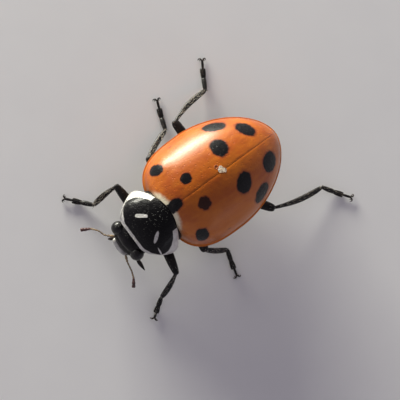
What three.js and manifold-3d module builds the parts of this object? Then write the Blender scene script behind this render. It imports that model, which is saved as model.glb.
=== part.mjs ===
// A convergent ladybird beetle, life size, standing in mid-step on its six feet.
// Millimetres, +Z up. The head points to -Y, and the beetle's own left side is +X.
// The plates of its shell are separate solids, as they are in the insect, with a thin cut between neighbours.
import * as THREE from "three";
import { mergeVertices } from "three/addons/utils/BufferGeometryUtils.js";
import Module from "manifold-3d";

const wasm = await Module();
wasm.setup();

// Driving dimensions of the body.
const LENGTH = 6.5; // front edge of the neck shield to the tips of the wing cases
const WIDTH = 4.0; // across the wing cases
const BELLY_Z = 0.6; // the breast's clearance above the ground
const RIM_Z = 1.08; // the lower rim of the wing cases
const TOP_Z = 2.75; // the crown of the dome
const PLATE = 0.46; // thickness of a shell plate
const CUT = 0.03; // the thin cut between two pieces
const FAR = 10; // beyond the whole insect

// Places along the body. The wing cases are widest near the middle of their length.
const WIDEST_Y = 0.08;
const CROWN_Y = -0.2; // where the dome is highest
const TIP_Y = 0.475 * LENGTH;
const NECK_Y = -0.303 * LENGTH; // the neck shield's hind edge, in the middle
const SHIELD_FRONT_Y = TIP_Y - LENGTH;
const HEAD_FRONT_Y = SHIELD_FRONT_Y - 0.5;

// Facets round a piece and rings along it.
const LARGE = { facets: 24, rings: 16 };
const MEDIUM = { facets: 18, rings: 10 };
const SMALL = { facets: 8, rings: 6 };

const COLOURS = {
  orange: { color: 0xd9691e, roughness: 0.25, metalness: 0 },
  black: { color: 0x121112, roughness: 0.3, metalness: 0 },
  brown: { color: 0x8a5a33, roughness: 0.45, metalness: 0 },
};
const materials = Object.fromEntries(
  Object.entries(COLOURS).map(([name, look]) => [name, new THREE.MeshStandardMaterial(look)]),
);

// A three.js geometry as a manifold-3d solid.
function solid(geometry) {
  const bare = geometry.clone();
  bare.deleteAttribute("normal");
  bare.deleteAttribute("uv");
  const merged = mergeVertices(bare);
  return new wasm.Manifold(
    new wasm.Mesh({
      numProp: 3,
      vertProperties: merged.attributes.position.array,
      triVerts: new Uint32Array(merged.index.array),
    }),
  );
}

// A manifold-3d solid as a three.js geometry.
function geometryOf(made) {
  const mesh = made.getMesh();
  const geometry = new THREE.BufferGeometry();
  geometry.setAttribute("position", new THREE.BufferAttribute(Float32Array.from(mesh.vertProperties), 3));
  geometry.setIndex(new THREE.BufferAttribute(Uint32Array.from(mesh.triVerts), 1));
  geometry.computeVertexNormals();
  return geometry;
}

const without = (made, ...others) => others.reduce((left, other) => left.subtract(other), made);
const signedPower = (value, power) => Math.sign(value) * Math.abs(value) ** power;

// How far a superellipse of this reach and power has closed in, from 1 at its middle to 0 at its end.
const fullness = (along, { reach, power }, grow) =>
  (1 - Math.min(1, Math.abs(along) / (reach + grow)) ** power) ** (1 / power);

// A shell lofted along Y from the rings of a sphere, its front towards -Y.
// The plan gives each ring's half width, and the profile its height. A power of 2 is an ellipse, more is squarer.
function lofted({ at, half, up, down, plan, profile, section = 2, facets, rings }, grow = 0) {
  const geometry = new THREE.SphereGeometry(1, facets, rings);
  const position = geometry.attributes.position;
  for (let i = 0; i < position.count; i++) {
    const [x, y, z] = [position.getX(i), position.getY(i), position.getZ(i)];
    const round = Math.hypot(x, z) || 1;
    const outline = y < 0 ? plan.front : plan.rear;
    const along = signedPower(y, 2 / outline.power) * (outline.reach + grow);
    const fromCrown = at[1] + along - profile.crown;
    const rise = fullness(fromCrown, fromCrown < 0 ? profile.front : profile.rear, grow);
    const across = signedPower(x / round, 2 / section);
    const upright = signedPower(z / round, 2 / section);
    position.setXYZ(
      i,
      at[0] + (half + grow) * fullness(along, outline, grow) * across,
      at[1] + along,
      at[2] + ((z > 0 ? up : down) + grow) * rise * upright,
    );
  }
  return solid(geometry);
}

// A ball stretched to three radii.
function ball({ at, radii, facets = SMALL.facets, rings = SMALL.rings }, grow = 0) {
  const geometry = new THREE.SphereGeometry(1, facets, rings);
  geometry.scale(...radii.map((r) => r + grow));
  geometry.translate(...at);
  return solid(geometry);
}

// A spindle from one point to another: its radii are spaced evenly, and its ends are flat.
function spindle({ from, to, radii }, grow = 0) {
  const start = new THREE.Vector3(...from);
  const along = new THREE.Vector3(...to).sub(start);
  const step = (along.length() + 2 * grow) / (radii.length - 1);
  const side = radii.map((r, i) => new THREE.Vector2(r + grow, i * step - grow));
  const foot = new THREE.Vector2(0, side[0].y);
  const tip = new THREE.Vector2(0, side[side.length - 1].y);
  const geometry = new THREE.LatheGeometry([foot, ...side, tip], SMALL.facets);
  geometry.applyQuaternion(
    new THREE.Quaternion().setFromUnitVectors(new THREE.Vector3(0, 1, 0), along.normalize()),
  );
  geometry.translate(start.x, start.y, start.z);
  return solid(geometry);
}

// A round tube of one thickness along a smooth curve, with closed ends.
function tube({ through, radius, steps }) {
  const section = new THREE.Shape();
  section.absarc(0, 0, radius, 0, 2 * Math.PI);
  const extrudePath = new THREE.CatmullRomCurve3(through.map((point) => new THREE.Vector3(...point)));
  return solid(new THREE.ExtrudeGeometry(section, { steps, extrudePath, curveSegments: SMALL.facets / 2 }));
}

// All of space between two planes across one axis, 0 for X, 1 for Y or 2 for Z.
function slab(axis, low, high) {
  const size = [2 * FAR, 2 * FAR, 2 * FAR];
  size[axis] = high - low;
  const centre = [0, 0, 0];
  centre[axis] = (low + high) / 2;
  const geometry = new THREE.BoxGeometry(...size);
  geometry.translate(...centre);
  return solid(geometry);
}

const SIDES = { left: 1, right: -1 };
const mirrored = ([x, y, z], side) => [side * x, y, z];
const ladybird = new THREE.Group();
function add(name, made, look) {
  const mesh = new THREE.Mesh(geometryOf(made), materials[look]);
  mesh.name = name;
  ladybird.add(mesh);
}

// Legs. Each is a chain of coxa, femur, tibia and tarsus, bent at the knee and the ankle, with a flat sole.
// X is counted outwards from the middle of the body, on either side.
const ANKLE_Z = 0.36;
const SOLE_AXIS_Z = 0.22;
const THIGH_DROP = 0.14; // the thigh leaves its coxa this much below the coxa's middle
const HIPS = {
  front: { at: [0.42, -2.62, 0.6], radii: [0.3, 0.24, 0.26] },
  middle: { at: [0.62, -1.12, 0.6], radii: [0.3, 0.24, 0.26] },
  hind: { at: [0.66, 0.42, 0.6], radii: [0.36, 0.22, 0.26] },
};
const FEMUR_RADII = [0.2, 0.27, 0.27, 0.24, 0.16];
const TIBIA_RADII = [0.16, 0.235, 0.235, 0.2];
const TARSUS_RADII = [0.2, 0.25, 0.25, 0.235, 0.2];
const STANCE = {
  front_left: { knee: [1.95, -2.86, 0.85], ankle: [2.35, -3.7], toe: [2.82, -4.38] },
  front_right: { knee: [1.83, -2.72, 0.85], ankle: [1.75, -3.68], toe: [2.6, -4.44] },
  middle_left: { knee: [1.92, -1.5, 0.82], ankle: [2.38, -0.72], toe: [3.43, -1.0] },
  middle_right: { knee: [1.97, -1.15, 0.82], ankle: [2.42, 0.05], toe: [3.5, 0.47] },
  hind_left: { knee: [2.16, 1.42, 0.78], ankle: [2.6, 3.38], toe: [3.58, 4.18] },
  hind_right: { knee: [2.42, 0.44, 0.82], ankle: [2.72, 2.04], toe: [3.72, 2.71] },
};
const between = (a, b, share) => a.map((v, i) => v + share * (b[i] - v));

function legSolids(name, { knee, ankle, toe }) {
  const [pair, side] = name.split("_");
  const place = (point) => mirrored(point, SIDES[side]);
  const coxa = { ...HIPS[pair], at: place(HIPS[pair].at) };
  const [hipX, hipY, hipZ] = between(HIPS[pair].at, knee, 0.2);
  const femur = { from: place([hipX, hipY, hipZ - THIGH_DROP]), to: place(knee), radii: FEMUR_RADII };
  const ankleAt = [...ankle, ANKLE_Z];
  const tibia = { from: place(between(knee, ankleAt, 0.04)), to: place(ankleAt), radii: TIBIA_RADII };
  const heel = [...between(ankle, toe, 0.06), SOLE_AXIS_Z];
  const tarsus = { from: place(heel), to: place([...toe, SOLE_AXIS_Z]), radii: TARSUS_RADII };
  const aboveGround = slab(2, 0, FAR);
  return {
    pieces: {
      coxa: ball(coxa),
      femur: spindle(femur).subtract(ball(coxa, CUT)),
      tibia: spindle(tibia).subtract(spindle(femur, CUT)),
      tarsus: spindle(tarsus).intersect(aboveGround).subtract(spindle(tibia, CUT)),
    },
    room: [ball(coxa, CUT), spindle(femur, CUT)],
  };
}

const legs = Object.fromEntries(Object.entries(STANCE).map(([name, pose]) => [name, legSolids(name, pose)]));
const legRoom = Object.values(legs).flatMap((leg) => leg.room);

function sixLegs() {
  for (const [name, leg] of Object.entries(legs)) {
    for (const [piece, made] of Object.entries(leg.pieces)) {
      add("leg_" + name + "_" + piece, made, "black");
    }
  }
}

// The neck shield ends behind in a round edge, and the wing cases start along it.
const NECK_BEND = 2.35; // radius of that edge
const neckSide = (grow) => {
  const height = 2 * FAR;
  const geometry = new THREE.CylinderGeometry(NECK_BEND + grow, NECK_BEND + grow, height, 64);
  geometry.rotateX(Math.PI / 2);
  geometry.translate(0, NECK_Y - NECK_BEND, 0);
  return solid(geometry);
};
const aheadOfNeck = neckSide(-CUT / 2);
const upToNeck = neckSide(CUT / 2);

// The dome of the wing cases, and the body that it covers.
const dome = {
  ...LARGE,
  at: [0, WIDEST_Y, RIM_Z],
  half: WIDTH / 2,
  up: TOP_Z - RIM_Z,
  down: RIM_Z - BELLY_Z + PLATE,
  section: 2.1,
  plan: { front: { reach: 2.25, power: 3.2 }, rear: { reach: TIP_Y - WIDEST_Y, power: 1.8 } },
  profile: {
    crown: CROWN_Y,
    front: { reach: 2.45, power: 2 },
    rear: { reach: TIP_Y - CROWN_Y, power: 1.9 },
  },
};
const domeInside = lofted(dome, -PLATE);
const body = lofted(dome, -PLATE - CUT).subtract(upToNeck);

// The small triangle between the bases of the wing cases.
const SCUTELLUM = { half: 0.26, length: 0.42, bottom: 1.6, height: 1.1 };
function scutellum(grow) {
  const front = NECK_Y + CUT - grow;
  const outline = new THREE.Shape()
    .moveTo(-SCUTELLUM.half - grow, front)
    .lineTo(SCUTELLUM.half + grow, front)
    .lineTo(0, front + SCUTELLUM.length + 3 * grow);
  const geometry = new THREE.ExtrudeGeometry(outline, {
    depth: SCUTELLUM.height + 2 * grow,
    bevelEnabled: false,
  });
  geometry.translate(0, 0, SCUTELLUM.bottom - grow);
  return solid(geometry);
}

function wingCases() {
  const shell = without(lofted(dome), domeInside, slab(2, -FAR, RIM_Z), upToNeck, scutellum(CUT));
  const otherHalf = { left: slab(0, -FAR, CUT / 2), right: slab(0, -CUT / 2, FAR) };
  for (const side of Object.keys(SIDES)) {
    add("elytron_" + side, without(shell, otherHalf[side], ...legRoom), "orange");
  }
  add("scutellum", without(scutellum(0).intersect(lofted(dome)), body, upToNeck), "black");
}

// The breast, and the six plates of the belly, cut across the body.
const BREAST_CUTS = { front: SHIELD_FRONT_Y, middle: HIPS.middle.at[1], hind: HIPS.hind.at[1] };
const BELLY_PLATES = 6;
const BELLY_END_Y = TIP_Y - PLATE;
const BELLY_TAPER = 0.82; // below 1, the first plate is the longest

function underside() {
  const slice = (low, high) => without(body.intersect(slab(1, low + CUT / 2, high - CUT / 2)), ...legRoom);
  add("mesothorax", slice(BREAST_CUTS.front, BREAST_CUTS.middle), "black");
  add("metathorax", slice(BREAST_CUTS.middle, BREAST_CUTS.hind), "black");
  const span = BELLY_END_Y - BREAST_CUTS.hind;
  const edge = (k) => BREAST_CUTS.hind + span * (k / BELLY_PLATES) ** BELLY_TAPER;
  for (let k = 0; k < BELLY_PLATES; k++) {
    add("abdomen_plate_" + (k + 1), slice(edge(k), edge(k + 1)), "black");
  }
}

// The neck shield, and the prothorax that it covers.
const SHIELD_RIM_Z = 1.0;
const SHIELD_WIDEST_Y = -2.74;
const shield = {
  ...MEDIUM,
  at: [0, SHIELD_WIDEST_Y, 1.12],
  half: 1.26,
  up: 0.98,
  down: 1.12 - BELLY_Z + PLATE,
  section: 2.3,
  plan: {
    front: { reach: SHIELD_WIDEST_Y - SHIELD_FRONT_Y, power: 2.7 },
    rear: { reach: 1.05, power: 2.4 },
  },
  profile: { crown: -2.05, front: { reach: 1.4, power: 2.3 }, rear: { reach: 1.2, power: 2.4 } },
};

// The head is a capsule that narrows to a short muzzle, turned down under the shield.
const head = {
  ...MEDIUM,
  at: [0, -3.42, 1.0],
  half: 0.72,
  up: 0.44,
  down: 0.42,
  section: 2.2,
  plan: { front: { reach: 0.42, power: 2.3 }, rear: { reach: 0.42, power: 2 } },
  profile: { crown: -3.42, front: { reach: 0.44, power: 2 }, rear: { reach: 0.42, power: 2 } },
};
const MUZZLE = { at: [0, -3.7, 0.84], radii: [0.48, 0.22, 0.28], facets: 12, rings: 6 };
const capsule = (grow) => lofted(head, grow).add(ball(MUZZLE, grow));

function forebody() {
  const aboveRim = slab(2, SHIELD_RIM_Z, FAR);
  const plate = lofted(shield).subtract(lofted(shield, -PLATE)).intersect(aboveRim).intersect(aheadOfNeck);
  add("pronotum", without(plate, ...legRoom), "black");
  const core = lofted(shield, -PLATE - CUT).intersect(aheadOfNeck);
  add("prothorax", without(core, capsule(CUT), ...legRoom), "black");
}

// The eyes, feelers and mouthparts. X is again counted outwards.
const EYE = { at: [0.58, -3.56, 1.04], radii: [0.25, 0.24, 0.27], facets: 12, rings: 6 };
const LABRUM = { at: [0, -3.95, 0.7], radii: [0.34, 0.18, 0.16], facets: 12, rings: 6 };
const MANDIBLE = { at: [0.2, -3.82, 0.42], radii: [0.17, 0.22, 0.15] };
const FEELER_RADIUS = 0.22;
const CLUB_RADII = [0.2, 0.25, 0.26, 0.24, 0.14];
const FEELERS = {
  left: { stem: [[0.46, -3.82, 0.86], [0.82, -4.08, 0.78], [1.22, -4.24, 0.7]], tip: [1.52, -4.4, 0.66] },
  right: { stem: [[0.44, -3.82, 0.86], [0.78, -4.12, 0.78], [1.1, -4.36, 0.7]], tip: [1.34, -4.68, 0.66] },
};
const PALP_RADII = [0.16, 0.24, 0.24, 0.14];
const PALPS = {
  left: { from: [0.5, -3.56, 0.5], to: [1.2, -3.62, 0.36] },
  right: { from: [0.44, -3.6, 0.44], to: [0.56, -4.16, 0.3] },
};

function headAndMouth() {
  const shieldRoom = lofted(shield, CUT).intersect(slab(2, SHIELD_RIM_Z - CUT, FAR));
  const headRoom = capsule(CUT);
  const labrumRoom = ball(LABRUM, CUT);
  const eyes = {};
  for (const [side, sign] of Object.entries(SIDES)) {
    const eye = { ...EYE, at: mirrored(EYE.at, sign) };
    eyes[side] = ball(eye, CUT);
    add("eye_" + side, ball(eye).subtract(shieldRoom), "black");
  }
  add("head", without(capsule(0), shieldRoom, eyes.left, eyes.right), "black");
  add("labrum", ball(LABRUM).subtract(headRoom), "black");
  for (const [side, sign] of Object.entries(SIDES)) {
    const jaw = { ...MANDIBLE, at: mirrored(MANDIBLE.at, sign) };
    add("mandible_" + side, without(ball(jaw), headRoom, labrumRoom), "brown");
    const { from, to } = PALPS[side];
    const palp = spindle({ from: mirrored(from, sign), to: mirrored(to, sign), radii: PALP_RADII });
    add("palp_" + side, without(palp, headRoom, ball(jaw, CUT), labrumRoom), "brown");
    const through = FEELERS[side].stem.map((point) => mirrored(point, sign));
    const club = { from: through[2], to: mirrored(FEELERS[side].tip, sign), radii: CLUB_RADII };
    const stem = tube({ through, radius: FEELER_RADIUS, steps: 6 });
    add("antenna_" + side, without(stem, headRoom, labrumRoom, eyes[side], spindle(club, CUT)), "brown");
    add("antenna_club_" + side, spindle(club), "brown");
  }
}

wingCases();
underside();
forebody();
headAndMouth();
sixLegs();

// The origin is the middle of the box's base, on the ground between the feet.
const box = new THREE.Box3().setFromObject(ladybird);
const middle = box.getCenter(new THREE.Vector3());
ladybird.position.set(-middle.x, -middle.y, -box.min.z);

export default ladybird;
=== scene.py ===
"""A convergent ladybird beetle, life size, standing still in mid-step on a plain pale floor.

Pieces are shaped in millimetres round the middle of the wing cases, with the head towards -Y and the beetle's
left side towards +X, and then each is settled in its place in the frame, in metres.
"""
import math
import random
from contextlib import contextmanager
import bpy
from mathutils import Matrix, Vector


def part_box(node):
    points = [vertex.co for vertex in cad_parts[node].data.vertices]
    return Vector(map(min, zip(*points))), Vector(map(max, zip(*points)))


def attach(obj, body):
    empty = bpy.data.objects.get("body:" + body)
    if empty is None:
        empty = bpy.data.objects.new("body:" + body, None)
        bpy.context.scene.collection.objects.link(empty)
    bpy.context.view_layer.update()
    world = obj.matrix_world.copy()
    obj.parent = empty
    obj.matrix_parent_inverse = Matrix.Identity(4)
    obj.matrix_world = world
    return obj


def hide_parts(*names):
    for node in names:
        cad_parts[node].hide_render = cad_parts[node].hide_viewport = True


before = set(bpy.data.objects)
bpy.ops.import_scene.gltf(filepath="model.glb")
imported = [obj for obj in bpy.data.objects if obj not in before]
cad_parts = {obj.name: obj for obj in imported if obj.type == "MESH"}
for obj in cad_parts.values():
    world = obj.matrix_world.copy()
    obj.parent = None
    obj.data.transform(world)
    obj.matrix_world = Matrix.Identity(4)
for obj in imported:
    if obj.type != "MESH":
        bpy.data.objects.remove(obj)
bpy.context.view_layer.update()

from types import SimpleNamespace as Form

import bmesh
import bpy
from mathutils import Matrix, Vector

# Driving sizes, in millimetres, from the frame's solids.
MM = 0.001
left_low, left_high = (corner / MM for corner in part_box("elytron_left"))
right_low, right_high = (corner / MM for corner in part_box("elytron_right"))
LENGTH = 6.5
SUTURE_X = (left_low.x + right_high.x) / 2
HALF = (left_high.x - right_low.x) / 2
RIM_Z = left_low.z
CROWN_Z = left_high.z
TIP_Y = 0.475 * LENGTH
MIDDLE_Y = left_high.y - TIP_Y
WIDEST_Y = 0.08
NECK_Y = -0.303 * LENGTH
NECK_BEND = 2.35
BELLY_Z = 0.62
CUT = 0.012

SIDES = {"left": 1, "right": -1}


# Ways of working.

def only(obj):
    """Makes this the one selected and active object."""
    bpy.ops.object.select_all(action="DESELECT")
    obj.select_set(True)
    bpy.context.view_layer.objects.active = obj


def named(name):
    obj = bpy.context.active_object
    obj.name = name
    obj.data.name = name
    return obj


@contextmanager
def editing(obj):
    only(obj)
    bpy.ops.object.mode_set(mode="EDIT")
    yield
    bpy.ops.object.mode_set(mode="OBJECT")


def pick(test, kind="VERT"):
    """Selects the vertices, edges or faces being edited that pass a test, and nothing else."""
    bpy.ops.mesh.select_mode(type=kind)
    bpy.ops.mesh.select_all(action="DESELECT")
    mesh = bpy.context.edit_object.data
    bm = bmesh.from_edit_mesh(mesh)
    for item in {"VERT": bm.verts, "EDGE": bm.edges, "FACE": bm.faces}[kind]:
        if test(item):
            item.select_set(True)
    bm.select_flush(True)
    bmesh.update_edit_mesh(mesh)


def everything():
    bpy.ops.mesh.select_all(action="SELECT")


def resize(value, centre):
    bpy.ops.transform.resize(value=value, center_override=centre)


def move(value):
    bpy.ops.transform.translate(value=value)


def swell(value, reach):
    """Moves what is picked, and draws its surroundings after it."""
    bpy.ops.transform.translate(
        value=value, use_proportional_edit=True, proportional_edit_falloff="SMOOTH", proportional_size=reach)


def extrude(value=(0, 0, 0)):
    bpy.ops.mesh.extrude_region_move(TRANSFORM_OT_translate={"value": value})


def modified(obj, kind, **settings):
    """Adds a modifier and applies it."""
    only(obj)
    bpy.ops.object.modifier_add(type=kind)
    modifier = obj.modifiers[-1]
    for name, value in settings.items():
        setattr(modifier, name, value)
    bpy.ops.object.modifier_apply(modifier=modifier.name)


def subdivided(obj, levels):
    modified(obj, "SUBSURF", levels=levels, render_levels=levels)


def thickened(obj, thickness, edge=0.0):
    modified(obj, "SOLIDIFY", thickness=thickness, offset=-1)
    if edge:
        modified(obj, "BEVEL", width=edge, segments=2, limit_method="ANGLE", angle_limit=math.radians(50))


def cut_by(obj, cutter, operation="DIFFERENCE"):
    """Cuts the cutter out of a closed piece, or keeps only what is inside it. The cutter is used up."""
    modified(obj, "BOOLEAN", object=cutter, operation=operation, solver="EXACT")
    removed(cutter)


def trimmed(obj, cutter, name, inside):
    """Cuts an open sheet along the cutter's surface, and deletes the cutter and the part that is inside it."""
    obj = joined(name, [obj, cutter])
    with editing(obj):
        bpy.ops.mesh.select_all(action="DESELECT")
        bpy.ops.mesh.select_mode(type="FACE")
        pick(lambda f: inside(f.calc_center_median()) and abs(f.normal.z) < 1e-4 or len(f.verts) > 100, "FACE")
        bpy.ops.mesh.intersect(mode="SELECT_UNSELECT", separate_mode="CUT", solver="EXACT")
        pick(lambda f: inside(f.calc_center_median()), "FACE")
        bpy.ops.mesh.delete(type="FACE")
    return obj


def removed(obj):
    bpy.data.objects.remove(obj)


def outwards(obj):
    with editing(obj):
        everything()
        bpy.ops.mesh.normals_make_consistent(inside=False)


def joined(name, pieces):
    bpy.ops.object.select_all(action="DESELECT")
    for piece in pieces:
        piece.select_set(True)
    bpy.context.view_layer.objects.active = pieces[0]
    bpy.ops.object.join()
    return named(name)


def copied(obj, name, mirror=False):
    """A copy with its own mesh, mirrored across the beetle's middle where asked."""
    only(obj)
    bpy.ops.object.duplicate(linked=False)
    made = named(name)
    if mirror:
        made.scale.x = -1
        bpy.ops.object.transform_apply(location=False, rotation=False, scale=True)
        outwards(made)
    return made


def mirrored(point, sign):
    return Vector((point[0] * sign, point[1], point[2]))


def settled(obj, looks, nodes=(), angle=40):
    """Puts a finished piece in its place in the frame, in metres, gives it its looks, and hides the frame's solids
    that it stands for.
    """
    only(obj)
    obj.location = (SUTURE_X * MM, MIDDLE_Y * MM, 0)
    obj.scale = (MM, MM, MM)
    bpy.ops.object.transform_apply(location=True, rotation=True, scale=True)
    bpy.ops.object.shade_smooth_by_angle(angle=math.radians(angle))
    obj.data.materials.clear()
    obj.data.materials.append(looks)
    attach(obj, "root")
    if nodes:
        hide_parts(*nodes)
    return obj


# Forms. A form lofted along Y has a plan for its half widths and a profile for its heights. Each end of an
# outline has a reach and a power: 2 is an ellipse, more is squarer.

def fullness(along, end):
    reach, power = end
    return (1 - min(1, abs(along) / reach) ** power) ** (1 / power)


def lofted(name, form, segments, rings, keep=()):
    """A ball with its poles fore and aft, whose rings are sized and moved one by one to the form.
    keep names the sides of the ball to keep, as directions."""
    bpy.ops.mesh.primitive_uv_sphere_add(segments=segments, ring_count=rings, rotation=(math.pi / 2, 0, 0))
    obj = named(name)
    bpy.ops.object.transform_apply(rotation=True)
    if hasattr(form, "section"):
        squared(obj, form.section)
    with editing(obj):
        for direction in keep:
            everything()
            bpy.ops.mesh.bisect(plane_co=(0, 0, 0), plane_no=direction, clear_inner=True, threshold=1e-5)
    by_place = {}
    for vertex in obj.data.vertices:
        by_place.setdefault(round(vertex.co.y, 4), set()).add(vertex.index)
    upper = {v.index for v in obj.data.vertices if v.co.z > 1e-4}
    x, y, z = form.at
    with editing(obj):
        for place, ring in by_place.items():
            round_radius = math.sqrt(max(0, 1 - place * place))
            reach, power = form.plan[place > 0]
            along = math.copysign(abs(place) ** (2 / power), place) * reach
            from_crown = y + along - form.crown
            rise = fullness(from_crown, form.profile[from_crown > 0])
            if round_radius > 1e-3:
                width = form.half * fullness(along, form.plan[place > 0]) / round_radius
                for above, height in ((True, form.up), (False, form.down)):
                    side = {i for i in ring if (i in upper) == above}
                    pick(lambda v: v.index in side)
                    resize((1, 1, height * rise / round_radius), (0, place, 0))
                pick(lambda v: v.index in ring)
                resize((width, 1, 1), (0, place, 0))
            else:
                pick(lambda v: v.index in ring)
            move((0, along - place, 0))
        everything()
        move((x, y, z))
    return obj


def squared(obj, power):
    """Makes the round sections of a ball squarer."""
    by_slant = {}
    for vertex in obj.data.vertices:
        slant = math.atan2(abs(vertex.co.z), abs(vertex.co.x))
        by_slant.setdefault(round(slant, 4), set()).add(vertex.index)
    with editing(obj):
        for slant, column in by_slant.items():
            reach = (abs(math.cos(slant)) ** power + abs(math.sin(slant)) ** power) ** (-1 / power)
            pick(lambda v: v.index in column)
            resize((reach, 1, reach), (0, 0, 0))


def ball(name, at, radii, segments=32, rings=20):
    bpy.ops.mesh.primitive_uv_sphere_add(segments=segments, ring_count=rings, location=at, scale=radii)
    obj = named(name)
    bpy.ops.object.transform_apply(location=True, scale=True)
    return obj


def spread(name, columns, rows):
    """A flat plate of a grid whose rows are sized and moved to an outline. A row is its place and half width."""
    count = len(rows)
    bpy.ops.mesh.primitive_grid_add(x_subdivisions=columns, y_subdivisions=count - 1, size=2)
    obj = named(name)
    with editing(obj):
        for k in range(count - 1, -1, -1):
            place = -1 + 2 * k / (count - 1)
            at, half = rows[k]
            pick(lambda v: abs(v.co.y - place) < 0.5 / count and abs(v.co.z) < 0.5)
            resize((half, 1, 1), (0, place, 0))
            move((0, at - place, 1))
    return obj


def draped(obj, form):
    """Lowers a flat plate onto a form that lies below it."""
    modified(obj, "SHRINKWRAP", target=form, wrap_method="PROJECT", use_project_z=True,
             use_negative_direction=True, use_positive_direction=False)


def bead_along(obj, test, radius):
    """A round bead along the edges that pass a test."""
    with editing(obj):
        pick(test, "EDGE")
        bpy.ops.mesh.duplicate()
        bpy.ops.mesh.separate(type="SELECTED")
    strand = next(o for o in bpy.context.selected_objects if o != obj)
    only(strand)
    bpy.ops.object.convert(target="CURVE")
    strand.data.bevel_depth = radius
    strand.data.bevel_resolution = 2
    strand.data.use_fill_caps = True
    bpy.ops.object.convert(target="MESH")
    return bpy.context.active_object


def turned(name, stations, facets=16):
    """A limb raised ring by ring along Z. A station is its height, its half widths across and through, and how
    far it leans across and through."""
    def full(station):
        return (*station, 0, 0)[:5]
    height, across, deep, lean, rise = full(stations[0])
    bpy.ops.mesh.primitive_circle_add(vertices=facets, radius=1, fill_type="NGON")
    obj = named(name)
    with editing(obj):
        everything()
        move((lean, rise, height))
        resize((across, deep, 1), (lean, rise, height))
        for station in stations[1:]:
            to_height, to_across, to_deep, to_lean, to_rise = full(station)
            extrude((to_lean - lean, to_rise - rise, to_height - height))
            resize((to_across / across, to_deep / deep, 1), (to_lean, to_rise, to_height))
            height, across, deep, lean, rise = to_height, to_across, to_deep, to_lean, to_rise
        everything()
        bpy.ops.mesh.normals_make_consistent(inside=False)
    return obj


def rod(name, points, radii, facets=8, steps=4):
    """A round rod of changing thickness along a smooth curve, with closed ends."""
    bpy.ops.curve.primitive_bezier_curve_add()
    obj = named(name)
    curve = obj.data
    curve.splines.clear()
    spline = curve.splines.new("BEZIER")
    spline.bezier_points.add(len(points) - 1)
    for knot, point, radius in zip(spline.bezier_points, points, radii):
        knot.co = point
        knot.handle_left_type = knot.handle_right_type = "AUTO"
        knot.radius = radius
    curve.resolution_u = steps
    curve.bevel_depth = 1
    curve.bevel_resolution = (facets - 4) // 2
    curve.use_fill_caps = True
    bpy.ops.object.convert(target="MESH")
    with editing(obj):
        everything()
        bpy.ops.mesh.remove_doubles(threshold=1e-5)
        bpy.ops.mesh.normals_make_consistent(inside=False)
    return obj


def laid(obj, start, end, up=(0, 0, 1)):
    """Lays a limb raised from the origin along Z between two points, with its Y side up."""
    start, end, up = Vector(start), Vector(end), Vector(up)
    along = (end - start).normalized()
    upright = (up - along * along.dot(up)).normalized()
    turn = Matrix((upright.cross(along), upright, along)).transposed().to_4x4()
    only(obj)
    obj.matrix_world = Matrix.Translation(start) @ turn
    bpy.ops.object.transform_apply(location=True, rotation=True, scale=True)
    return obj


def between(start, end, share):
    return Vector(start).lerp(Vector(end), share)


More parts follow.
